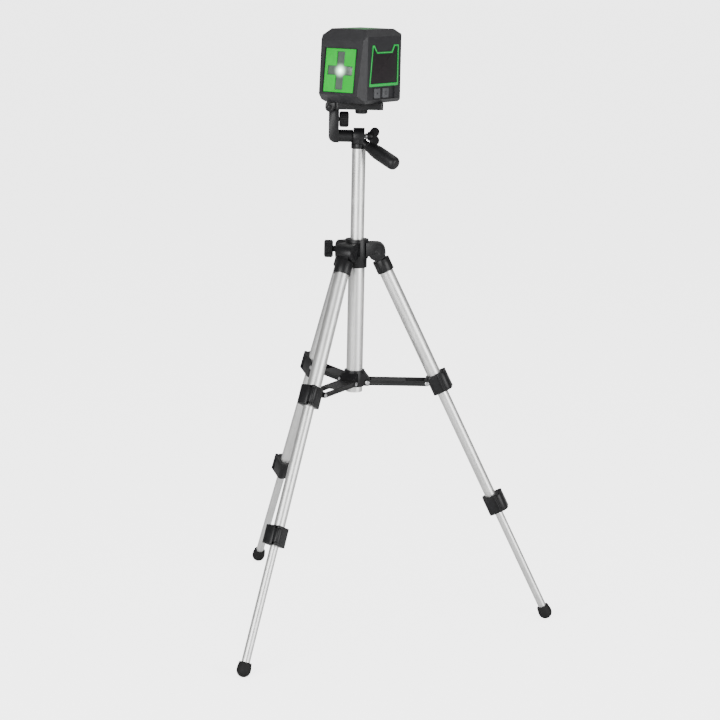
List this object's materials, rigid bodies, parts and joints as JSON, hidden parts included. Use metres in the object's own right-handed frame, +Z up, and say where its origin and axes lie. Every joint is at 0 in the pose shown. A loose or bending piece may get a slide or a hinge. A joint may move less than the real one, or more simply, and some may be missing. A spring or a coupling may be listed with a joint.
{
  "type": "laser level on tripod",
  "caption": "Cross-line laser level on a small folding tripod with braced telescopic legs and a tilting head.",
  "frame": {"origin": "point on the floor under the centre column", "axes": "+Z up along the column, +X over leg B, -Y towards the handle side"},
  "size_m": [0.3864, 0.4436, 0.729],
  "materials": {
    "satin_aluminium": "satin drawn aluminium, clear anodised",
    "black_plastic": "moulded black plastic with a fine grain",
    "black_rubber": "soft matt rubber",
    "grey_metal": "dark satin enamel",
    "steel": "plain steel pins and rivets",
    "charcoal_housing": "charcoal soft-touch plastic",
    "green_panel": "bright green satin plastic",
    "dark_panel": "dark ribbed plastic",
    "clear_window": "clear tinted acrylic",
    "white_symbol": "grey moulded button",
    "cell_wrap": "plain dark battery wrap",
    "brass": "turned brass"
  },
  "bodies": {
    "stand": {"shoulder": "black_plastic", "leg_pivot_pins": "grey_metal", "centre_tube": "satin_aluminium"},
    "hub": {"brace_hub": "black_plastic", "brace_hub_pins": "steel"},
    "leg_a": {"leg_a_socket": "black_plastic", "leg_a_upper_tube": "satin_aluminium", "leg_a_upper_lock": "black_plastic"},
    "middle_a": {"leg_a_middle_tube": "satin_aluminium", "leg_a_lower_lock": "black_plastic"},
    "lower_a": {"leg_a_lower_tube": "satin_aluminium", "leg_a_foot": "black_rubber"},
    "upper_lever_a": {"leg_a_upper_lever": "black_plastic"},
    "lower_lever_a": {"leg_a_lower_lever": "black_plastic"},
    "brace_a": {"brace_bar_a": "grey_metal", "brace_bar_a_rivets": "steel"},
    "leg_b": {"leg_b_socket": "black_plastic", "leg_b_upper_tube": "satin_aluminium", "leg_b_upper_lock": "black_plastic"},
    "middle_b": {"leg_b_middle_tube": "satin_aluminium", "leg_b_lower_lock": "black_plastic"},
    "lower_b": {"leg_b_lower_tube": "satin_aluminium", "leg_b_foot": "black_rubber"},
    "upper_lever_b": {"leg_b_upper_lever": "black_plastic"},
    "lower_lever_b": {"leg_b_lower_lever": "black_plastic"},
    "brace_b": {"brace_bar_b": "grey_metal", "brace_bar_b_rivets": "steel"},
    "leg_c": {"leg_c_socket": "black_plastic", "leg_c_upper_tube": "satin_aluminium", "leg_c_upper_lock": "black_plastic"},
    "middle_c": {"leg_c_middle_tube": "satin_aluminium", "leg_c_lower_lock": "black_plastic"},
    "lower_c": {"leg_c_lower_tube": "satin_aluminium", "leg_c_foot": "black_rubber"},
    "upper_lever_c": {"leg_c_upper_lever": "black_plastic"},
    "lower_lever_c": {"leg_c_lower_lever": "black_plastic"},
    "brace_c": {"brace_bar_c": "grey_metal", "brace_bar_c_rivets": "steel"},
    "column": {"column": "satin_aluminium", "pan_collar": "black_plastic"},
    "column_knob": {"column_lock_knob": "black_plastic"},
    "head": {"tilt_clamp": "black_plastic"},
    "handle": {"pan_handle": "black_plastic"},
    "wing": {"wing_screw": "black_plastic"},
    "bracket": {"l_bracket": "black_plastic"},
    "plate": {"platform": "black_plastic"},
    "thumb_screw": {"camera_screw": "steel"},
    "clamp_knob": {"flip_knob": "black_plastic"},
    "laser": {"laser_housing": "charcoal_housing", "laser_face_plate": "green_panel", "laser_window": "clear_window", "laser_top_panel": "green_panel", "laser_side_panels": "dark_panel", "laser_side_trims": "green_panel", "laser_batteries": "cell_wrap"},
    "power_button": {"laser_power_button": "white_symbol"},
    "mode_button": {"laser_mode_button": "white_symbol"},
    "battery_cover": {"laser_battery_cover": "charcoal_housing"},
    "gimbal": {"laser_gimbal_ring": "grey_metal"},
    "pendulum": {"laser_pendulum": "brass"}
  },
  "joints": [
    {"name": "leg_a_fold", "type": "hinge", "parent": "stand", "child": "leg_a", "pos_m": [-0.012, -0.02078, 0.46339], "axis": [0.866, -0.5, 0], "range_deg": [0, 23]},
    {"name": "leg_a_middle_slide", "type": "slide", "parent": "leg_a", "child": "middle_a", "axis": [0.2192, 0.3796, 0.8988], "range_m": [0, 0.142]},
    {"name": "leg_a_lower_slide", "type": "slide", "parent": "middle_a", "child": "lower_a", "axis": [0.2192, 0.3796, 0.8988], "range_m": [0, 0.136]},
    {"name": "leg_a_upper_lever_turn", "type": "hinge", "parent": "leg_a", "child": "upper_lever_a", "pos_m": [-0.05092, -0.1024, 0.30709], "axis": [0.2192, 0.3796, 0.8988], "range_deg": [0, 100]},
    {"name": "leg_a_lower_lever_turn", "type": "hinge", "parent": "middle_a", "child": "lower_lever_a", "pos_m": [-0.08807, -0.16675, 0.15474], "axis": [0.2192, 0.3796, 0.8988], "range_deg": [0, 100]},
    {"name": "brace_a_turn", "type": "hinge", "parent": "hub", "child": "brace_a", "pos_m": [-0.008, -0.01386, 0.30197], "axis": [0.866, -0.5, 0], "range_deg": [0, 86.38]},
    {"name": "leg_b_fold", "type": "hinge", "parent": "stand", "child": "leg_b", "pos_m": [0.024, 0, 0.46339], "axis": [0, 1, 0], "range_deg": [0, 23]},
    {"name": "leg_b_middle_slide", "type": "slide", "parent": "leg_b", "child": "middle_b", "axis": [-0.4384, 0, 0.8988], "range_m": [0, 0.142]},
    {"name": "leg_b_lower_slide", "type": "slide", "parent": "middle_b", "child": "lower_b", "axis": [-0.4384, 0, 0.8988], "range_m": [0, 0.136]},
    {"name": "leg_b_upper_lever_turn", "type": "hinge", "parent": "leg_b", "child": "upper_lever_b", "pos_m": [0.11414, 0.0071, 0.30709], "axis": [-0.4384, 0, 0.8988], "range_deg": [0, 100]},
    {"name": "leg_b_lower_lever_turn", "type": "hinge", "parent": "middle_b", "child": "lower_lever_b", "pos_m": [0.18845, 0.0071, 0.15474], "axis": [-0.4384, 0, 0.8988], "range_deg": [0, 100]},
    {"name": "brace_b_turn", "type": "hinge", "parent": "hub", "child": "brace_b", "pos_m": [0.016, 0, 0.30197], "axis": [0, 1, 0], "range_deg": [0, 86.38]},
    {"name": "leg_c_fold", "type": "hinge", "parent": "stand", "child": "leg_c", "pos_m": [-0.012, 0.02078, 0.46339], "axis": [-0.866, -0.5, 0], "range_deg": [0, 23]},
    {"name": "leg_c_middle_slide", "type": "slide", "parent": "leg_c", "child": "middle_c", "axis": [0.2192, -0.3796, 0.8988], "range_m": [0, 0.142]},
    {"name": "leg_c_lower_slide", "type": "slide", "parent": "middle_c", "child": "lower_c", "axis": [0.2192, -0.3796, 0.8988], "range_m": [0, 0.136]},
    {"name": "leg_c_upper_lever_turn", "type": "hinge", "parent": "leg_c", "child": "upper_lever_c", "pos_m": [-0.06322, 0.0953, 0.30709], "axis": [0.2192, -0.3796, 0.8988], "range_deg": [0, 100]},
    {"name": "leg_c_lower_lever_turn", "type": "hinge", "parent": "middle_c", "child": "lower_lever_c", "pos_m": [-0.10037, 0.15965, 0.15474], "axis": [0.2192, -0.3796, 0.8988], "range_deg": [0, 100]},
    {"name": "brace_c_turn", "type": "hinge", "parent": "hub", "child": "brace_c", "pos_m": [-0.008, 0.01386, 0.30197], "axis": [-0.866, -0.5, 0], "range_deg": [0, 86.38]},
    {"name": "hub_slide", "type": "slide", "parent": "stand", "child": "hub", "axis": [0, 0, 1], "range_m": [0, 0.06018]},
    {"name": "column_slide", "type": "slide", "parent": "stand", "child": "column", "axis": [0, 0, 1], "range_m": [-0.1, 0]},
    {"name": "column_knob_turn", "type": "hinge", "parent": "stand", "child": "column_knob", "pos_m": [-0.0288, 0, 0.46529], "axis": [-1, 0, 0], "range_deg": [0, 180]},
    {"name": "head_pan", "type": "hinge", "parent": "column", "child": "head", "pos_m": [0, 0, 0.59329], "axis": [0, 0, 1], "continuous": true},
    {"name": "handle_twist", "type": "hinge", "parent": "head", "child": "handle", "pos_m": [0, 0, 0.59679], "axis": [0.7025, -0.5895, -0.3987], "range_deg": [0, 180]},
    {"name": "wing_turn", "type": "hinge", "parent": "head", "child": "wing", "pos_m": [0, 0, 0.60179], "axis": [1, 0, 0], "range_deg": [0, 180]},
    {"name": "head_tilt", "type": "hinge", "parent": "head", "child": "bracket", "pos_m": [0, 0, 0.60179], "axis": [1, 0, 0], "range_deg": [-80, 45]},
    {"name": "plate_flip", "type": "hinge", "parent": "bracket", "child": "plate", "pos_m": [-0.0356, 0, 0.63669], "axis": [0, -1, 0], "range_deg": [0, 90]},
    {"name": "clamp_knob_turn", "type": "hinge", "parent": "bracket", "child": "clamp_knob", "pos_m": [-0.0244, 0, 0.62159], "axis": [1, 0, 0], "range_deg": [0, 180]},
    {"name": "thumb_screw_turn", "type": "hinge", "parent": "plate", "child": "thumb_screw", "pos_m": [0.002, 0, 0.63459], "axis": [0, 0, 1], "continuous": true},
    {"name": "laser_swivel", "type": "hinge", "parent": "plate", "child": "laser", "pos_m": [0.002, 0, 0.64299], "axis": [0, 0, 1], "continuous": true},
    {"name": "power_button_press", "type": "slide", "parent": "laser", "child": "power_button", "axis": [-0.8231, 0.5678, 0], "range_m": [0, 0.001], "stiffness_N_per_m": 1500},
    {"name": "mode_button_press", "type": "slide", "parent": "laser", "child": "mode_button", "axis": [-0.8231, 0.5678, 0], "range_m": [0, 0.001], "stiffness_N_per_m": 1500},
    {"name": "battery_cover_swing", "type": "hinge", "parent": "laser", "child": "battery_cover", "pos_m": [0.02522, 0.03367, 0.65649], "axis": [-0.8231, 0.5678, 0], "range_deg": [0, 100]},
    {"name": "gimbal_rock", "type": "hinge", "parent": "laser", "child": "gimbal", "pos_m": [-0.00254, -0.00659, 0.70499], "axis": [0.8231, -0.5678, 0], "range_deg": [-4, 4]},
    {"name": "pendulum_swing", "type": "hinge", "parent": "gimbal", "child": "pendulum", "pos_m": [-0.00254, -0.00659, 0.70499], "axis": [-0.5678, -0.8231, 0], "range_deg": [-4, 4]}
  ],
  "couplings": [
    {"joint": "leg_b_fold", "follows": "leg_a_fold", "ratio": 1},
    {"joint": "leg_c_fold", "follows": "leg_a_fold", "ratio": 1},
    {"joint": "brace_a_turn", "follows": "leg_a_fold", "ratio": 3.7557},
    {"joint": "brace_b_turn", "follows": "leg_a_fold", "ratio": 3.7557},
    {"joint": "brace_c_turn", "follows": "leg_a_fold", "ratio": 3.7557},
    {"joint": "hub_slide", "follows": "leg_a_fold", "m_per_rad": 0.14992}
  ]
}
